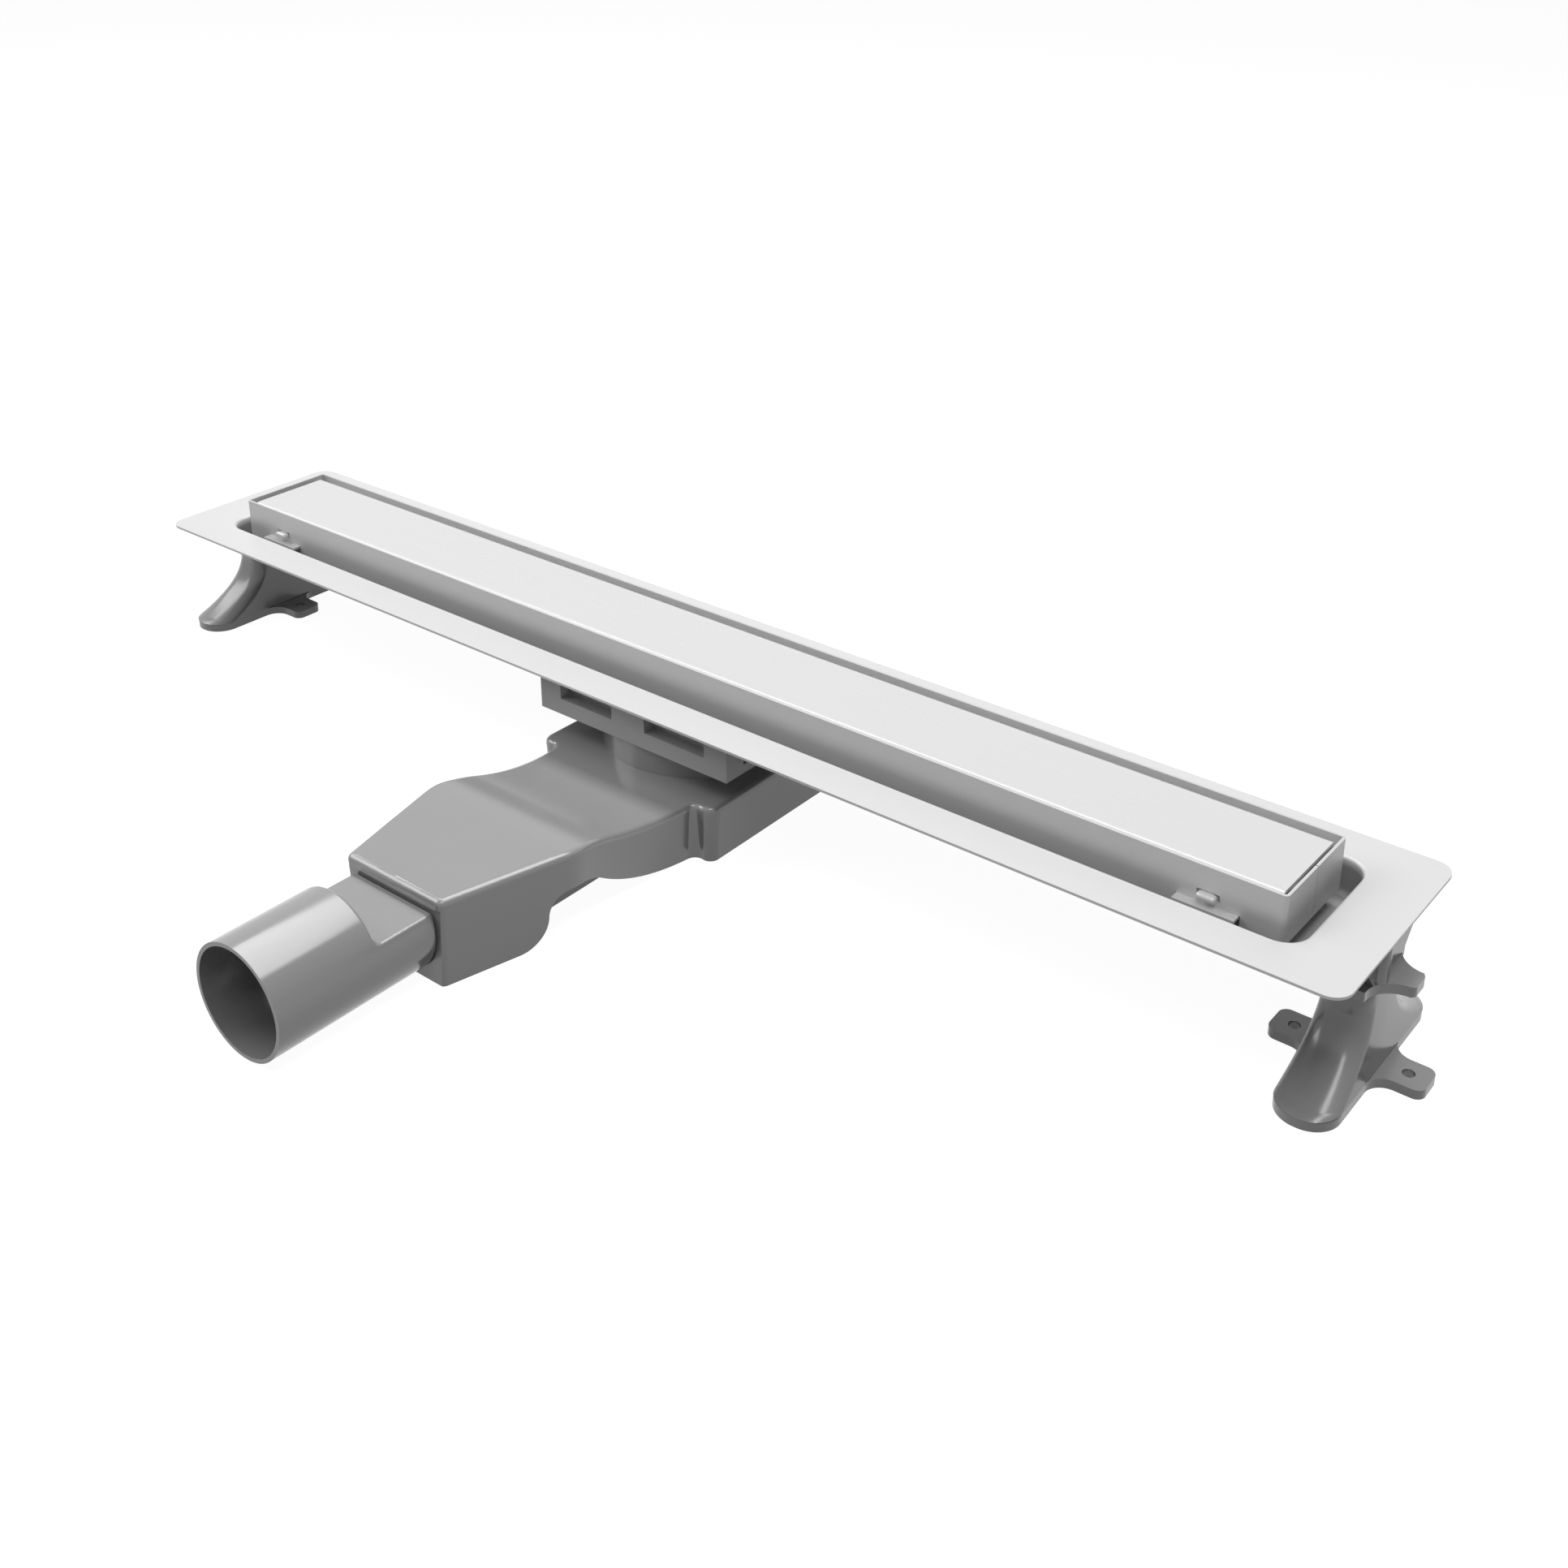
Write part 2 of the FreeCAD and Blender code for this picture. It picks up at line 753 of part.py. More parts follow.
strainer = keep("strainer", new_body("strainer"))
pad(
    strainer, "strainer_disc", "XY", clamp_top, clamp_top + S.strainer_thickness,
    circles=[(0, 0, rim_radius)],
)
STRAINER_HOLES = {"inner": 6, "outer": 12}
for circle_name, circle_radius in (("inner", S.strainer_inner_circle), ("outer", S.strainer_outer_circle)):
    hole = pocket(
        strainer, f"{circle_name}_hole", "XY", clamp_top, clamp_top + S.strainer_thickness,
        circles=[(circle_radius, 0, S.strainer_hole_radius)],
    )
    pattern = strainer.newObject("PartDesign::PolarPattern", f"{circle_name}_holes")
    pattern.Originals = [hole]
    pattern.Axis = (hole.Profile[0], ["N_Axis"])
    pattern.Angle = 360
    pattern.Occurrences = int(STRAINER_HOLES[circle_name])
    strainer.Tip = pattern


# Trap body: a moulded housing. Its plan is a square base with round corners and a waisted
# duct; its top falls in an S from the duct to the base, and an arch lifts each side's lower edge
# clear of a keel that stays on the floor. It is hollow, with a weir between base and duct.

def s_curve(near, far, share):
    """Two arcs that leave level and arrive level; they meet on the line between the end points.
    near and far are (y, z) and share is the part of the way that the first arc takes. Gives the
    meeting point and the two radii."""
    run = far[0] - near[0]
    drop = near[1] - far[1]
    meet = (near[0] + run * share, near[1] - drop * share)
    reach = (run * run + drop * drop) / (drop * 2)
    return meet, reach * share, reach * (1 - share)


trap = keep("trap_body", new_body("trap_body"))
base_half = S.base_half
front = -S.trap_front
body_top = S.duct_height
post = base_half - S.post_radius
front_post = -S.front_post_reach
# The notch's round touches the duct's side and, from outside, the front corner's round.
notch_middle = S.duct_root_half + S.notch_radius
between_rounds = S.post_radius + S.notch_radius
notch_across = post - notch_middle
notch_back = (between_rounds * between_rounds - notch_across * notch_across).root()
notch_level = front_post - notch_back
# The waist's round touches the notch's round from around it, and the shoulder's round from outside.
waist_y = -S.waist_middle
around_notch = S.waist_radius - S.notch_radius
waist_above = notch_level - waist_y
waist_x = notch_middle + (around_notch * around_notch - waist_above * waist_above).root()
beside_shoulder = S.waist_radius + S.duct_shoulder_radius
shoulder_y = -S.duct_shoulder
waist_below = waist_y - shoulder_y
shoulder_x = waist_x - (beside_shoulder * beside_shoulder - waist_below * waist_below).root()


def common_tangent(first, first_radius, second, second_radius):
    """The two points where a straight line touches two rounds on their right, going from the
    first round to the second."""
    run = second[0] - first[0]
    rise = second[1] - first[1]
    reach = run * run + rise * rise
    shrink = first_radius - second_radius
    across = (reach - shrink * shrink).root()
    out_x = (run * shrink + rise * across) / reach
    out_y = (rise * shrink - run * across) / reach
    rounds = ((first, first_radius), (second, second_radius))
    return [(middle[0] + out_x * radius, middle[1] + out_y * radius) for middle, radius in rounds]


def duct_side(lean, front_lean):
    """The straight part of the duct's side, between its front corner and its shoulder."""
    corner = S.duct_front_corner
    corner_middle = (S.duct_front_half - lean - corner, front + front_lean + corner)
    shoulder_middle = (shoulder_x, shoulder_y)
    return common_tangent(corner_middle, corner, shoulder_middle, S.duct_shoulder_radius - lean)


def trap_plan(lean, front_lean):
    """The housing's plan with its sides moved in by lean and its front by front_lean. The rounds
    of the corners, notches and waist keep their middles, and each edge runs smoothly into the next."""
    corner = S.duct_front_corner
    side = base_half - lean
    round_post = S.post_radius - lean
    round_shoulder = S.duct_shoulder_radius - lean
    notch = S.notch_radius + lean
    shoulder_share = round_shoulder / beside_shoulder
    notch_share = notch / around_notch
    touch = notch / between_rounds
    side_start, side_end = duct_side(lean, front_lean)
    return whole_outline([
        (0, front + front_lean),
        (S.duct_front_half - lean - corner, front + front_lean, corner, "left"),
        side_start,
        (side_end[0], side_end[1], round_shoulder, "left"),
        (
            shoulder_x + (waist_x - shoulder_x) * shoulder_share,
            shoulder_y + (waist_y - shoulder_y) * shoulder_share, S.waist_radius + lean, "right",
        ),
        (
            notch_middle + (notch_middle - waist_x) * notch_share,
            notch_level + (notch_level - waist_y) * notch_share, notch, "right",
        ),
        (notch_middle + notch_across * touch, notch_level + notch_back * touch, round_post, "left"),
        (side, front_post),
        (side, post, round_post, "left"),
        (post, side),
        (0, side),
    ])


# The mould's draft: the sides lean in towards the floor.
top_plan = new_sketch(trap, "top_plan", "XY", body_top)
draw_loop(top_plan, trap_plan(as_size(0), as_size(0)))
floor_plan = new_sketch(trap, "floor_plan", "XY", 0)
draw_loop(floor_plan, trap_plan(S.trap_draft, S.trap_front_draft))
shell = trap.newObject("PartDesign::AdditiveLoft", "drafted_sides")
shell.Profile = floor_plan
shell.Sections = [top_plan]
shell.Ruled = True

crest = (-S.crest_end, body_top)
shelf = (-S.slope_end, S.base_height)
crest_meet, crest_radius, shelf_radius = s_curve(crest, shelf, S.crest_share)
above = body_top + S.trap_edge
behind = base_half + S.trap_edge
pocket(
    trap, "top_slope", "YZ", -(base_half + S.post_radius), base_half + S.post_radius,
    [[
        (crest[0], crest[1], crest_radius, "right"),
        (crest_meet[0], crest_meet[1], shelf_radius, "left"),
        (shelf[0], shelf[1]),
        (behind, S.base_height),
        (behind, above),
        (crest[0], above),
    ]],
)

arch_low = (-S.arch_start, as_size(0))
toe = S.arch_toe_radius
crown = S.arch_crown_radius
arch_roof = toe + crown
arch_wall = -(S.arch_start - toe)
crown_start = arch_wall + crown
crown_end = crown_start + S.arch_crown_run
arch_exit = (-S.arch_end, as_size(0))
arch_meet, crown_fall, exit_fall = s_curve((crown_end, arch_roof), arch_exit, S.arch_share)
arch = [
    (arch_low[0], arch_low[1], toe, "left"),
    (arch_wall, toe, crown, "right"),
    (crown_start, arch_roof),
    (crown_end, arch_roof, crown_fall, "right"),
    (arch_meet[0], arch_meet[1], exit_fall, "left"),
    (arch_exit[0], arch_exit[1]),
    (arch_exit[0], -toe),
    (arch_low[0], -toe),
]
outside = base_half + S.post_radius
pocket(trap, "arch_right", "YZ", S.keel_half, outside, [arch])
pocket(trap, "arch_left", "YZ", -outside, -S.keel_half, [arch])


# How far a face's normal points up on the housing's top, at least, and on its sides, at most
TOP_LIFT = 0.6
SIDE_LIFT = 0.2


def top_rim(edge):
    """The edges between the top surfaces and the upright sides."""
    faces = trap.Tip.Shape.ancestorsOfType(edge, Part.Face)
    lifts = []
    for face in faces:
        u0, u1, v0, v1 = face.ParameterRange
        lifts.append(face.normalAt((u0 + u1) / 2, (v0 + v1) / 2).z)
    return len(lifts) == 2 and max(lifts) > TOP_LIFT and min(lifts) < SIDE_LIFT


round_edges(trap, "top_rim_round", S.trap_edge, top_rim)
lip_low = body_top - S.front_lip_height
pocket(
    trap, "front_lip", "XZ", front, front + S.front_lip,
    [rectangle(-S.duct_front_half, S.duct_front_half, -S.trap_edge, lip_low)],
)

# The hollow inside
wall = S.trap_wall
chamber_half = base_half - wall - S.trap_draft
chamber_top = S.base_height - wall
weir_back = front_post - S.weir_setback
weir_front = weir_back - wall
duct_inner_front = front + S.front_lip + wall
duct_inner_top = body_top - wall
box_inner_front_half = S.duct_front_half - wall - S.trap_draft
# The duct's side runs straight from its front to its shoulder; this is where it is at the arch.
side_start, side_end = duct_side(as_size(0), as_size(0))
widening = (side_end[0] - side_start[0]) / (side_end[1] - side_start[1])
duct_half_at_arch = side_start[0] + (-S.arch_start - side_start[1]) * widening
chamber_back_half = duct_half_at_arch - wall - S.trap_draft
pocket(
    trap, "base_chamber", "XY", wall, chamber_top,
    [rectangle(-chamber_half, chamber_half, weir_back, chamber_half)],
)
pocket(trap, "keel_channel", "XY", wall, arch_roof, [
    rectangle(-(S.keel_half - wall), S.keel_half - wall, duct_inner_front, weir_front),
])
pocket(trap, "outlet_chamber", "XY", wall, duct_inner_top, [[
    (-box_inner_front_half, duct_inner_front),
    (box_inner_front_half, duct_inner_front),
    (chamber_back_half, -S.arch_start),
    (-chamber_back_half, -S.arch_start),
]])
inner_crest = (-S.crest_end, duct_inner_top)
inner_shelf = (-S.slope_end, chamber_top)
inner_meet, inner_crest_radius, inner_shelf_radius = s_curve(inner_crest, inner_shelf, S.crest_share)
bed = (crown_end, arch_roof + wall)
bed_end = (weir_front, wall)
bed_meet, bed_crown, bed_fall = s_curve(bed, bed_end, S.arch_share)
pocket(trap, "duct_space", "YZ", -S.duct_hollow_half, S.duct_hollow_half, [[
    (-S.arch_start - wall, arch_roof + wall),
    (bed[0], bed[1], bed_crown, "right"),
    (bed_meet[0], bed_meet[1], bed_fall, "left"),
    (bed_end[0], bed_end[1]),
    (weir_front, chamber_top),
    (inner_shelf[0], inner_shelf[1], inner_shelf_radius, "right"),
    (inner_meet[0], inner_meet[1], inner_crest_radius, "left"),
    (inner_crest[0], inner_crest[1]),
    (-S.arch_start - wall, duct_inner_top),
]])
pocket(trap, "over_weir", "XY", S.weir_height, chamber_top, [
    rectangle(-S.duct_hollow_half, S.duct_hollow_half, weir_front, weir_back),
])
pocket(trap, "neck_hole", "XY", chamber_top, S.base_height, circles=[(0, 0, sleeve_hole)])


# Outlet adaptor: a round pipe, cut flat on top where it leaves the trap

def flat_topped(half, top, corner, centre=S.pipe_axis_height):
    """A half-round bottom with upright sides, a flat top and round upper corners."""
    return [
        (-half, centre, half, "left"),
        (0, centre - half, half, "left"),
        (half, centre),
        (half, top - corner, corner, "left"),
        (half - corner, top),
        (-(half - corner), top, corner, "left"),
        (-half, top - corner),
    ]


adaptor = keep("outlet_adaptor", new_body("outlet_adaptor"))
face = front + S.front_lip
spigot_half = S.pipe_radius - S.spigot_inset
spigot_top = S.shank_flat_height - S.spigot_inset
adaptor_start = front - S.adaptor_gap
pad(
    adaptor, "pipe", "XZ", -S.pipe_end, adaptor_start,
    circles=[(0, S.pipe_axis_height, S.pipe_radius)],
)
above_pipe = S.pipe_axis_height + S.pipe_radius + S.pipe_wall
pocket(
    adaptor, "shank_flat", "XZ", -S.pipe_start, adaptor_start,
    [rectangle(-S.pipe_radius, S.pipe_radius, S.shank_flat_height, above_pipe)],
)
on_flat = level_edges(S.shank_flat_height)


def shank_step(edge):
    """The edge where the flat runs into the pipe's end."""
    box = edge.BoundBox
    crosses = box.YMax - box.YMin < TOUCH
    return on_flat(edge) and crosses and abs(box.YMin + S.pipe_start.value) < TOUCH


def shank_sides(edge):
    """The two long edges of the flat."""
    box = edge.BoundBox
    return on_flat(edge) and box.XMax - box.XMin < TOUCH


round_edges(adaptor, "shank_step_round", S.shank_step_round, shank_step)
round_edges(adaptor, "shank_edge_round", S.shank_edge, shank_sides)
pad(
    adaptor, "spigot", "XZ", adaptor_start, face + S.spigot_length,
    [flat_topped(spigot_half, spigot_top, S.spigot_corner)],
)
pocket(
    adaptor, "pipe_bore", "XZ", -S.pipe_end, -S.pipe_start,
    circles=[(0, S.pipe_axis_height, S.pipe_radius - S.pipe_wall)],
)
pocket(
    adaptor, "spigot_bore", "XZ", -S.pipe_start, face + S.spigot_length,
    [flat_topped(spigot_half - S.spigot_wall, spigot_top - S.spigot_wall, S.spigot_corner)],
)

seal_half = spigot_half + S.seal_ring_thickness
seal_top = spigot_top + S.seal_ring_thickness
pocket(
    trap, "outlet_opening", "XZ", front, duct_inner_front,
    [flat_topped(seal_half, seal_top, S.spigot_corner)],
)
outlet_seal = keep("outlet_seal", new_body("outlet_seal"))
pad(
    outlet_seal, "outlet_seal_ring", "XZ", face, duct_inner_front,
    [
        flat_topped(seal_half, seal_top, S.spigot_corner),
        flat_topped(spigot_half, spigot_top, S.spigot_corner),
    ],
)


# Feet: a sole plate with two screw ears under a swooping, hollow body

def eared(half_width, half_length, end_radius, ear_reach, ear_half, ear_corner, ear_fillet):
    """A long plate with an ear on each side; concave rounds lead into the ears."""
    straight = half_length - end_radius
    root = ear_half + ear_fillet
    return [
        (half_width - end_radius, -half_length, end_radius, "left"),
        (half_width, -straight),
        (half_width, -root, ear_fillet, "right"),
        (half_width + ear_fillet, -ear_half),
        (ear_reach - ear_corner, -ear_half, ear_corner, "left"),
        (ear_reach, -(ear_half - ear_corner)),
        (ear_reach, ear_half - ear_corner, ear_corner, "left"),
        (ear_reach - ear_corner, ear_half),
        (half_width + ear_fillet, ear_half, ear_fillet, "right"),
        (half_width, root),
        (half_width, straight, end_radius, "left"),
        (half_width - end_radius, half_length),
        (-(half_width - end_radius), half_length, end_radius, "left"),
        (-half_width, straight),
        (-half_width, root, ear_fillet, "right"),
        (-(half_width + ear_fillet), ear_half),
        (-(ear_reach - ear_corner), ear_half, ear_corner, "left"),
        (-ear_reach, ear_half - ear_corner),
        (-ear_reach, -(ear_half - ear_corner), ear_corner, "left"),
        (-(ear_reach - ear_corner), -ear_half),
        (-(half_width + ear_fillet), -ear_half, ear_fillet, "right"),
        (-half_width, -root),
        (-half_width, -straight, end_radius, "left"),
        (-(half_width - end_radius), -half_length),
    ]


def loft(kind, body, name, sections):
    """Joins round rectangles at rising heights: (height, half width, half length, corner)."""
    sketches = []
    for number, (height, half_width, half_length, corner) in enumerate(sections, start=1):
        sketch = new_sketch(body, f"{name}_{number}", "XY", height)
        draw_loop(sketch, round_rectangle(half_width, half_length, corner))
        sketches.append(sketch)
    feature = body.newObject(f"PartDesign::{kind}", name)
    feature.Profile = sketches[0]
    feature.Sections = sketches[1:]
    feature.Ruled = False
    return feature


# How the ramp falls from neck to toe: share of the height, and of the way from neck to toe
RAMP = ((0.05, 0.86), (0.11, 0.6), (0.2, 0.33), (0.33, 0.14), (0.55, 0.03), (1, 0))


def foot(node, end):
    body = keep(node, new_body(node))
    pad(body, node + "_sole", "XY", 0, S.foot_plate, [eared(
        S.foot_half_width, S.foot_half_length, S.foot_toe_corner,
        S.ear_reach, S.ear_half_width, S.ear_corner, S.ear_fillet,
    )])
    rise = S.foot_height - S.foot_plate
    run = S.foot_half_length - S.foot_neck_half_length
    narrowing = S.foot_half_width - S.foot_ridge_half_width
    sections = [(S.foot_plate, S.foot_half_width, S.foot_half_length, S.foot_toe_corner)]
    for height_share, run_share in RAMP:
        sections.append((
            S.foot_plate + rise * height_share,
            S.foot_ridge_half_width + narrowing * math.sqrt(run_share),
            S.foot_neck_half_length + run * run_share,
            S.foot_neck_corner + (S.foot_toe_corner - S.foot_neck_corner) * run_share,
        ))
    loft("AdditiveLoft", body, node + "_ramp", sections)
    pocket(
        body, node + "_ear_holes", "XY", 0, S.foot_plate,
        circles=[(S.ear_hole_reach * side, 0, S.ear_hole_radius) for side in (-1, 1)],
    )
    hollow = [(
        height - (S.foot_plate if number == 0 else S.foot_wall), half_width - S.foot_wall,
        half_length - S.foot_end_wall, corner - S.foot_wall,
    ) for number, (height, half_width, half_length, corner) in enumerate(sections)]
    loft("SubtractiveLoft", body, node + "_hollow", hollow)
    pocket(
        body, node + "_screw_hole", "XY", S.foot_height - S.foot_wall, S.foot_height,
        circles=[(0, 0, S.foot_screw_radius + S.screw_clearance)],
    )
    bind(body, "Placement.Base.x", foot_reach * end)
    if end < 0:
        body.Placement = FreeCAD.Placement(
            body.Placement.Base, FreeCAD.Rotation(FreeCAD.Vector(0, 0, 1), 180),
        )


def bracket(node, end):
    body = keep(node, new_body(node))
    plate_top = S.foot_height + S.bracket_plate
    pad(body, node + "_plate", "XY", S.foot_height, plate_top, [eared(
        S.bracket_half_width, S.bracket_half_length, S.bracket_end_corner,
        S.bracket_ear_reach, S.bracket_ear_half_width, S.bracket_ear_corner, S.bracket_ear_fillet,
    )])
    pad(body, node + "_fan", "YZ", -S.fan_half_depth, S.fan_half_depth, [[
        (-S.fan_foot_half, plate_top),
        (S.fan_foot_half, plate_top),
        (S.fan_top_half, flange_under),
        (-S.fan_top_half, flange_under),
    ]])
    space_foot_half = S.fan_foot_half - S.fan_side_wall
    space_top_half = S.fan_top_half - S.fan_side_wall - S.fan_wall
    pocket(body, node + "_space", "YZ", -S.fan_half_depth, S.fan_half_depth - S.fan_wall, [[
        (-space_foot_half, plate_top),
        (space_foot_half, plate_top),
        (space_top_half, flange_under - S.fan_wall),
        (-space_top_half, flange_under - S.fan_wall),
    ]])
    pad(
        body, node + "_boss", "XY", plate_top, flange_under,
        circles=[(S.fan_half_depth - S.boss_inset, -S.boss_forward, S.boss_radius)],
    )
    screw_boss = S.foot_screw_radius + S.screw_boss_wall
    pad(
        body, node + "_screw_boss", "XY", plate_top, S.foot_height + S.foot_screw_reach + S.screw_boss_wall,
        circles=[(0, 0, screw_boss)],
    )
    pocket(
        body, node + "_screw_bore", "XY", S.foot_height, S.foot_height + S.foot_screw_reach,
        circles=[(0, 0, S.foot_screw_radius)],
    )
    bind(body, "Placement.Base.x", foot_reach * end)
    if end < 0:
        body.Placement = FreeCAD.Placement(
            body.Placement.Base, FreeCAD.Rotation(FreeCAD.Vector(0, 0, 1), 180),
        )


foot_screws = []
for side_name, end in (("left", -1), ("right", 1)):
    foot(f"foot_{side_name}", end)
    bracket(f"bracket_{side_name}", end)
    head_top = S.foot_height - S.foot_wall
    head = cylinder(
        f"foot_screw_head_{side_name}", S.foot_screw_head_radius,
        head_top - S.foot_screw_head, head_top, foot_reach * end,
    )
    shank = cylinder(
        f"foot_screw_shank_{side_name}", S.foot_screw_radius,
        head_top, S.foot_height + S.foot_screw_reach, foot_reach * end,
    )
    foot_screws.append(joined(f"foot_screw_{side_name}", head, shank))
grouped("foot_screws", foot_screws)


# Build, check and write

doc.recompute()
faults = []
for thing in doc.Objects:
    if any(word in thing.State for word in ("Invalid", "Error")):
        faults.append(f"{thing.Name}: {thing.State}")
    elif thing.TypeId == "PartDesign::Pocket" and not thing.BaseFeature.Shape.isNull():
        if thing.Shape.Volume >= thing.BaseFeature.Shape.Volume - 1e-3:
            faults.append(f"{thing.Name} cuts nothing")
for node, thing in NODES.items():
    if thing.Shape.isNull() or not thing.Shape.isValid():
        faults.append(f"{node}: bad shape")
if faults:
    raise RuntimeError("; ".join(faults))

os.makedirs("parts", exist_ok=True)
for node, thing in NODES.items():
    thing.Shape.exportStep(f"parts/{node}.step")
    box = thing.Shape.BoundBox
    print(
        f"{node}: {len(thing.Shape.Solids)} solid(s), {thing.Shape.Volume / 1000:.2f} cm3, "
        f"x {box.XMin:.1f} {box.XMax:.1f}, y {box.YMin:.1f} {box.YMax:.1f}, z {box.ZMin:.1f} {box.ZMax:.1f}"
    )
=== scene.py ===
import bpy
import numpy as np
from mathutils import Matrix, Vector


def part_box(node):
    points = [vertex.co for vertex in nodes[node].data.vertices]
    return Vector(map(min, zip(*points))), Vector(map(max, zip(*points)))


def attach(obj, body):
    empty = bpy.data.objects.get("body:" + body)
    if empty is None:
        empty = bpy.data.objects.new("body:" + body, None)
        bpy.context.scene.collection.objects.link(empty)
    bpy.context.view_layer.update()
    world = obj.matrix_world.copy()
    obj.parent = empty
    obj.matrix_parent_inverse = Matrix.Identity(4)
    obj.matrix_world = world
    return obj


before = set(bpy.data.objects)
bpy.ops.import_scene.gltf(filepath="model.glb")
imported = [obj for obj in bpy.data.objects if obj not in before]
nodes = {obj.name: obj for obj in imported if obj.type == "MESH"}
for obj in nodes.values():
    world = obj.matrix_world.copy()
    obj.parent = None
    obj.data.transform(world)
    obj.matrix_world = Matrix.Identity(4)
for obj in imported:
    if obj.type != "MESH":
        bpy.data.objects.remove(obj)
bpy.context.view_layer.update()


# Trough and flange: 1.2 mm stainless sheet, pressed and welded, with a fine satin grain that runs
# along the channel. The flange is tiled over later, so it has the plainest finish. Below the
# flange the sheet's colour is painted darker, as painted shade for the inside of the trough.

class Reading:
    """One output socket of a material. Sums, products and the like of readings add Math nodes."""

    def __init__(self, tree, socket=None):
        self.tree = tree
        self.socket = socket

    def node(self, kind, settings, sockets, output=0):
        """A node of that kind. Its settings come first, then numbers or readings on its sockets."""
        made = self.tree.nodes.new(kind)
        for name, value in settings.items():
            setattr(made, name, value)
        for name, value in sockets.items():
            if isinstance(value, Reading):
                self.tree.links.new(value.socket, made.inputs[name])
            else:
                made.inputs[name].default_value = value
        return Reading(self.tree, made.outputs[output])

    def maths(self, operation, first, second):
        return self.node("ShaderNodeMath", {"operation": operation}, {0: first, 1: second})

    def __add__(self, other):
        return self.maths("ADD", self, other)

    __radd__ = __add__

    def __sub__(self, other):
        return self.maths("SUBTRACT", self, other)

    def __rsub__(self, other):
        return self.maths("SUBTRACT", other, self)

    def __mul__(self, other):
        return self.maths("MULTIPLY", self, other)

    __rmul__ = __mul__

    def grain(self, stretch, size, detail=3.0):
        """Noise from 0 to 1 on this place, its specks drawn out by stretch along X, Y and Z."""
        scaled = self.node("ShaderNodeVectorMath", {"operation": "MULTIPLY"}, {0: self, 1: stretch})
        return self.node("ShaderNodeTexNoise", {"noise_dimensions": "3D"},
                         {"Vector": scaled, "Scale": 1.0 / size, "Detail": detail, "Roughness": 0.5})

    def tint(self, share, shade, other):
        """The colour shade where share is 0 and other where it is 1."""
        return self.node("ShaderNodeMix", {"data_type": "RGBA"},
                         {0: share, 6: (*shade, 1), 7: (*other, 1)}, 2)

    def relief(self, height, depth):
        """The normal of a surface raised by height times depth metres."""
        return self.node("ShaderNodeBump", {}, {"Height": height, "Distance": depth, "Strength": 1.0})


def finish_of(name, plain):
    """A new material, its shader with the plain values set, and the place on the surface."""
    material = bpy.data.materials.new(name)
    material.use_nodes = True
    shader = material.node_tree.nodes["Principled BSDF"]
    for socket, value in plain.items():
        shader.inputs[socket].default_value = value
    start = Reading(material.node_tree)
    return material, shader, start.node("ShaderNodeTexCoord", {}, {}, "Object")


def feed(shader, **readings):
    """Links each reading to the shader's socket of that name, base_color to Base Color."""
    for name, reading in readings.items():
        socket = shader.inputs[name.replace("_", " ").title()]
        reading.tree.links.new(reading.socket, socket)


def dress(material, *names):
    """Puts the material on every slot of the named CAD nodes."""
    for name in names:
        for slot in nodes[name].material_slots:
            slot.material = material


def scaled_shade(shade, factor):
    """The shade with each of its three parts multiplied by the factor."""
    return tuple(part * factor for part in shade)


even = (1, 1, 1)
along_x = (0.03, 1, 1)
painted_shade_fade = 0.002


def satin_sheet(name, shade, along, metal, gloss, depth=0.00001, painted_shade_below=None):
    """Satin stainless: fine lines drawn out along one axis move the colour, roughness and bump.

    Below a given height the sheet's colour is painted darker, as painted shade for the inside
    of a trough. The change spreads over the fade height set before this function.
    """
    material, shader, place = finish_of(name, {"Metallic": metal, "IOR": 1.45})
    lines = place.grain(along, size=0.0011)
    cloud = place.grain(even, size=0.09, detail=2.0)
    share = lines * 0.6 + cloud * 0.4
    darker = scaled_shade(shade, 0.97)
    # Painted shade: below the given height the colour is darkened to stand for the shade inside the
    # trough, with only a little grain left.
    if painted_shade_below:
        height = place.node("ShaderNodeSeparateXYZ", {}, {0: place}, 2)
        above = height.node("ShaderNodeMath", {"operation": "MULTIPLY", "use_clamp": True},
                            {0: height - painted_shade_below, 1: 1 / painted_shade_fade})
        share = share * 0.08 + above * 0.92
        darker = scaled_shade(shade, 0.45)
    feed(shader,
         base_color=place.tint(share, darker, scaled_shade(shade, 1.02)),
         roughness=lines * 0.05 + cloud * 0.05 + (gloss - 0.05),
         normal=place.relief(lines, depth))
    return material


# The height passed here sets where the painted shade inside the trough begins, just under the flange.
channel_satin = satin_sheet("channel_satin", shade=(0.76, 0.76, 0.765), along=along_x, metal=0.12,
                            gloss=0.4, painted_shade_below=0.0585)
dress(channel_satin, "channel_body")


# Tile frame: two bent strips of the same stainless, standing on edge, with lanced tabs that key
# into the tile adhesive. The grain follows the strip.

frame_satin = satin_sheet("frame_satin", shade=(0.7, 0.7, 0.705), along=along_x, metal=0.12,
                          gloss=0.34)
dress(frame_satin, "frame_front_half", "frame_back_half")


# Cover plate: folded stainless with rounded long edges, lying loose in the frame, and the cross
# bars that it lies on. This is the surface that people stand on, ground a little finer.

cover_satin = satin_sheet("cover_satin", shade=(0.76, 0.76, 0.765), along=along_x, metal=0.12,
                          gloss=0.28, depth=0.000001)
dress(cover_satin, "cover_plate")
along_y = (1, 0.03, 1)
bar_satin = satin_sheet("bar_satin", shade=(0.78, 0.78, 0.785), along=along_y, metal=0.12,
                        gloss=0.36)
dress(bar_satin, "support_bar_left", "support_bar_right")


# Screws and nuts: turned stainless, bright, with faint rings from the tool. The long ones carry
# the cross bars, and the short ones hold each lower foot to its bracket.

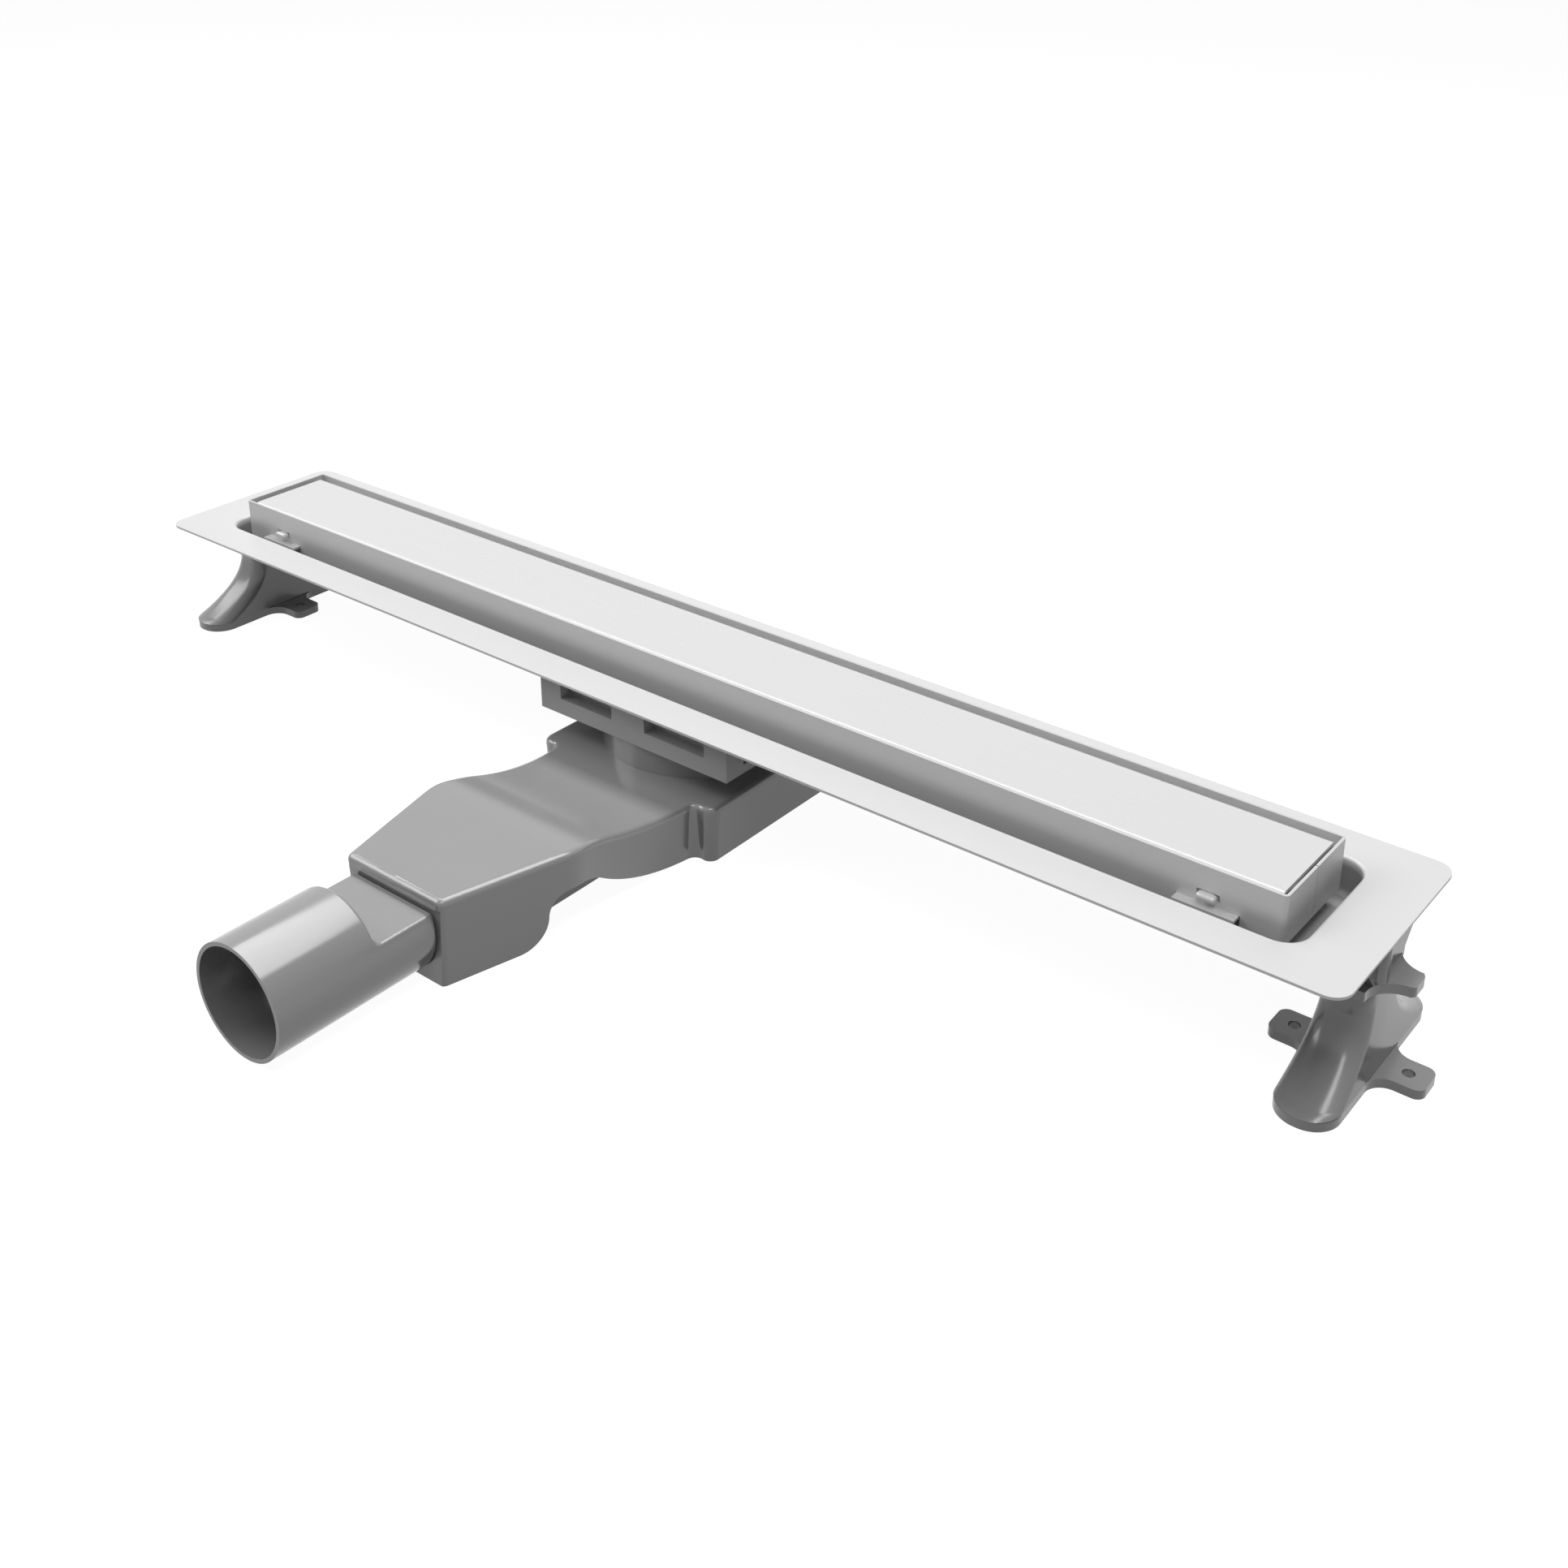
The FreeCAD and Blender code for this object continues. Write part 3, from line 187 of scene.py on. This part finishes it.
def turned_metal(name, shade, gloss):
    """Turned metal: close rings round the Z axis move the colour, roughness and bump."""
    material, shader, place = finish_of(name, {"Metallic": 0.9})
    rings = place.grain((0.15, 0.15, 1), size=0.0006)
    feed(shader,
         base_color=place.tint(rings, scaled_shade(shade, 0.9), shade),
         roughness=rings * 0.12 + gloss,
         normal=place.relief(rings, 0.00002))
    return material


dress(turned_metal("turned_steel", shade=(0.72, 0.72, 0.73), gloss=0.24),
      "levelling_screws", "levelling_nuts", "foot_screws")


# Mounting block: light grey moulding under the middle of the trough, matte, with a faint
# unevenness of colour as such thick mouldings have.

def moulding(name, shade, grain_size, depth, gloss, uneven=0.05, sheen=0.5):
    """Moulded plastic: a fine even grain on the surface and wide soft clouds in the colour."""
    material, shader, place = finish_of(name, {"Metallic": 0.0, "IOR": 1.5,
                                               "Specular IOR Level": sheen})
    specks = place.grain(even, grain_size, detail=2.0)
    cloud = place.grain(even, size=0.045, detail=2.0)
    darker = scaled_shade(shade, 1 - uneven)
    lighter = scaled_shade(shade, 1 + uneven)
    feed(shader,
         base_color=place.tint(cloud * 0.7 + specks * 0.3, darker, lighter),
         roughness=specks * 0.1 + cloud * 0.06 + (gloss - 0.08),
         normal=place.relief(specks, depth))
    return material


block_moulding = moulding("block_moulding", shade=(0.5, 0.5, 0.5), grain_size=0.0009,
                          depth=0.00006, gloss=0.5)
dress(block_moulding, "mounting_block")


# Trap, neck, adaptor, feet and brackets: mid grey moulded plastic with a semi-gloss skin. The
# feet and brackets are a shade darker and less glossy than the trap.

trap_grey = moulding("grey_moulding", shade=(0.34, 0.34, 0.34), grain_size=0.0007,
                     depth=0.000006, gloss=0.17, sheen=0.9)
dress(trap_grey, "trap_body", "neck_ring", "outlet_adaptor")
foot_grey = moulding("foot_moulding", shade=(0.31, 0.31, 0.31), grain_size=0.0007,
                     depth=0.000004, gloss=0.21, sheen=0.8)
dress(foot_grey, "foot_left", "foot_right", "bracket_left", "bracket_right")


# Foot ramps: each lower foot's ramp is a thin moulded skin that sweeps from the narrow neck down
# to the round toe in one hollow curve, part of the foot and of the same grey moulding.

foot_plate = 0.004
neck_half_length = 0.0154
neck_half_width = 0.01
neck_corner = 0.007
toe_half_width = 0.0126
toe_corner = 0.0121
ramp_over_foot = 0.00005
ramp_ends_sunk = 0.00002
ramp_power = 2.9
ramp_levels = 61
ramp_turns = 120


def skin(name, points, material):
    """A smooth skin through rising rows of points, each row a ring, with flat ends."""
    rows, ring = points.shape[:2]
    corner = np.arange(rows * ring).reshape(rows, ring)
    after = np.roll(corner, -1, axis=1)
    faces = np.stack([corner[:-1], after[:-1], after[1:], corner[1:]], axis=-1).reshape(-1, 4)
    ends = [corner[0, ::-1].tolist(), corner[-1].tolist()]
    mesh = bpy.data.meshes.new(name)
    mesh.from_pydata(points.reshape(-1, 3), [], faces.tolist() + ends)
    mesh.polygons.foreach_set("use_smooth", np.arange(len(faces) + len(ends)) < len(faces))
    mesh.materials.append(material)
    piece = bpy.data.objects.new(name, mesh)
    bpy.context.scene.collection.objects.link(piece)
    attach(piece, "root")


def ramp(foot):
    """Round rectangles at rising height over the foot's own ramp, each drawn once by the angle.

    The half length falls from toe to neck as the power ramp_power of the height still to go.
    The corner radius falls with it, and the half width with its square root. The skin stands
    ramp_over_foot outside the solid, and both its ends lie ramp_ends_sunk inside it.
    """
    low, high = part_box(foot)
    share = np.linspace(0, 1, ramp_levels)[:, None]
    angle = np.linspace(0, 2 * np.pi, ramp_turns, endpoint=False)[None, :]
    spread = (1 - share) ** ramp_power
    half_length = neck_half_length + ramp_over_foot + (high.y - neck_half_length) * spread
    half_width = neck_half_width + ramp_over_foot + (toe_half_width - neck_half_width) * np.sqrt(spread)
    corner = neck_corner + (toe_corner - neck_corner) * spread
    across = np.sign(np.cos(angle)) * (half_width - corner) + corner * np.cos(angle)
    along = np.sign(np.sin(angle)) * (half_length - corner) + corner * np.sin(angle)
    height = foot_plate - ramp_ends_sunk + (high.z - foot_plate) * share + 0 * angle
    return np.stack([(low.x + high.x) / 2 + across, along, height], axis=-1)


skin("foot_ramp_left", ramp("foot_left"), foot_grey)
skin("foot_ramp_right", ramp("foot_right"), foot_grey)


# Tongue ends: where a cross bar's tongue comes out of the frame's window its end is pressed into
# a small rounded lug, the same stainless as the bar.

lug_half_width = 0.004
lug_half_depth = 0.0019
lug_half_height = 0.0014
lug_set_back = 0.0004
lug_above_bar = 0.00045
lug_pole = 0.48 * np.pi
lug_levels = 25
lug_turns = 48


def lug(bar, outwards):
    """A rounded bar end: a superellipsoid, power 4 in plan and power 3 in height.

    outwards is -1 for the bar's front end and 1 for its back end. Its poles are trimmed, and
    the skin closes them flat.
    """
    low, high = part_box(bar)
    centre = (low + high) / 2
    rise = np.linspace(-lug_pole, lug_pole, lug_levels)[:, None]
    angle = np.linspace(0, 2 * np.pi, lug_turns, endpoint=False)[None, :]
    outline = np.abs(np.cos(rise)) ** (2 / 3)
    across = outline * np.sign(np.cos(angle)) * np.abs(np.cos(angle)) ** 0.5
    along = outline * np.sign(np.sin(angle)) * np.abs(np.sin(angle)) ** 0.5
    height = np.sign(np.sin(rise)) * np.abs(np.sin(rise)) ** (2 / 3) + 0 * angle
    return np.stack([centre.x + lug_half_width * across,
                     outwards * (high.y - lug_set_back) + lug_half_depth * along,
                     centre.z + lug_above_bar + lug_half_height * height], axis=-1)


bright_bar = satin_sheet("lug_satin", shade=(0.8, 0.8, 0.805), along=along_x, metal=0.2, gloss=0.24)
for end in ("left", "right"):
    for side, outwards in (("front", -1), ("back", 1)):
        skin(f"tongue_{side}_{end}", lug(f"support_bar_{end}", outwards), bright_bar)


# Parts inside the neck: clamp ring, dip tube and strainer, moulded in a duller grey. The ring
# holds the trough's floor down on the block, and the other two lift out for cleaning.

inner_moulding = moulding("inner_moulding", shade=(0.36, 0.36, 0.37), grain_size=0.0007,
                          depth=0.00003, gloss=0.4)
dress(inner_moulding, "clamp_ring", "trap_insert", "strainer")


# Seals: black rubber with a dull, slightly dusty skin. Each sits where two pieces meet and keeps
# the water in.

seal_rubber = moulding("seal_rubber", shade=(0.03, 0.03, 0.03), grain_size=0.0005,
                       depth=0.00004, gloss=0.68, uneven=0.25)
dress(seal_rubber, "floor_seal", "insert_o_ring", "outlet_seal")


# Studio: a pale floor that stays white to the camera apart from the drain's soft shadow, a white
# surround, and three soft lamps whose reflections draw the light lines on rims, pipe and feet.

floor_width = 30
floor_below = 0.0002
floor_shade = 0.2
floor_glow = 0.95
surround_light = 0.07


def seen_directly(start):
    """1 for rays from the camera or from a reflection or through glass, otherwise 0."""
    from_camera = start.node("ShaderNodeLightPath", {}, {}, "Is Camera Ray")
    reflected = start.node("ShaderNodeLightPath", {}, {}, "Is Glossy Ray")
    through_glass = start.node("ShaderNodeLightPath", {}, {}, "Is Transmission Ray")
    return start.maths("MAXIMUM", start.maths("MAXIMUM", from_camera, reflected), through_glass)


bpy.ops.mesh.primitive_plane_add(size=floor_width, location=(0, 0, -floor_below))
floor = bpy.context.object
floor.name = "studio_floor"
floor_paint = bpy.data.materials.new("studio_floor_paint")
floor_paint.use_nodes = True
floor_tree = floor_paint.node_tree
floor_shader = floor_tree.nodes["Principled BSDF"]
floor_shader.inputs["Base Color"].default_value = (floor_shade, floor_shade, floor_shade, 1)
floor_shader.inputs["Roughness"].default_value = 1.0
floor_shader.inputs["Specular IOR Level"].default_value = 0.0
floor_shader.inputs["Emission Color"].default_value = (1, 1, 1, 1)
glow = seen_directly(Reading(floor_tree)) * floor_glow
floor_tree.links.new(glow.socket, floor_shader.inputs["Emission Strength"])
floor.data.materials.append(floor_paint)

world = bpy.data.worlds.new("studio_surround")
world.use_nodes = True
bpy.context.scene.world = world
surround = world.node_tree.nodes["Background"]
surround.inputs["Color"].default_value = (1, 1, 1, 1)
brightness = seen_directly(Reading(world.node_tree)) * (1 - surround_light) + surround_light
world.node_tree.links.new(brightness.socket, surround.inputs["Strength"])


def soft_lamp(name, place, aim, size, power):
    """An area lamp of that width and height at place, facing aim."""
    lamp = bpy.data.lights.new(name, "AREA")
    lamp.shape = "RECTANGLE"
    lamp.size, lamp.size_y = size
    lamp.energy = power
    holder = bpy.data.objects.new(name, lamp)
    bpy.context.scene.collection.objects.link(holder)
    holder.location = place
    holder.rotation_euler = (Vector(aim) - Vector(place)).to_track_quat("-Z", "Y").to_euler()


soft_lamp("left_softbox", place=(-1.5, -0.7, 1.3), aim=(0, 0, 0), size=(1.5, 0.9), power=16)
soft_lamp("overhead_softbox", place=(-0.2, 0.5, 1.5), aim=(-0.2, 0, 0), size=(2.4, 0.45), power=17)
soft_lamp("right_softbox", place=(0.62, -0.4, 1.5), aim=(0.62, 0, 0), size=(0.45, 1.2), power=8)


# Camera: the photograph's own standpoint, right of the outlet and above the channel. Its place,
# direction and lens follow from the drain's straight edges in the photograph.

lens = bpy.data.cameras.new("photo_camera")
lens.sensor_width = 36.0
lens.lens = 43.0
lens.shift_y = -0.1791
camera = bpy.data.objects.new("photo_camera", lens)
bpy.context.scene.collection.objects.link(camera)
standpoint = Matrix.Translation((0.521374, -0.585699, 0.461549))
right = Vector((0.780145, 0.625599, 0.000031))
up = Vector((-0.235233, 0.293299, 0.926629))
back = Vector((0.579689, -0.722912, 0.375977))
camera.matrix_world = standpoint @ Matrix((right, up, back)).transposed().to_4x4()
bpy.context.scene.camera = camera
bpy.context.scene.view_settings.view_transform = "Standard"
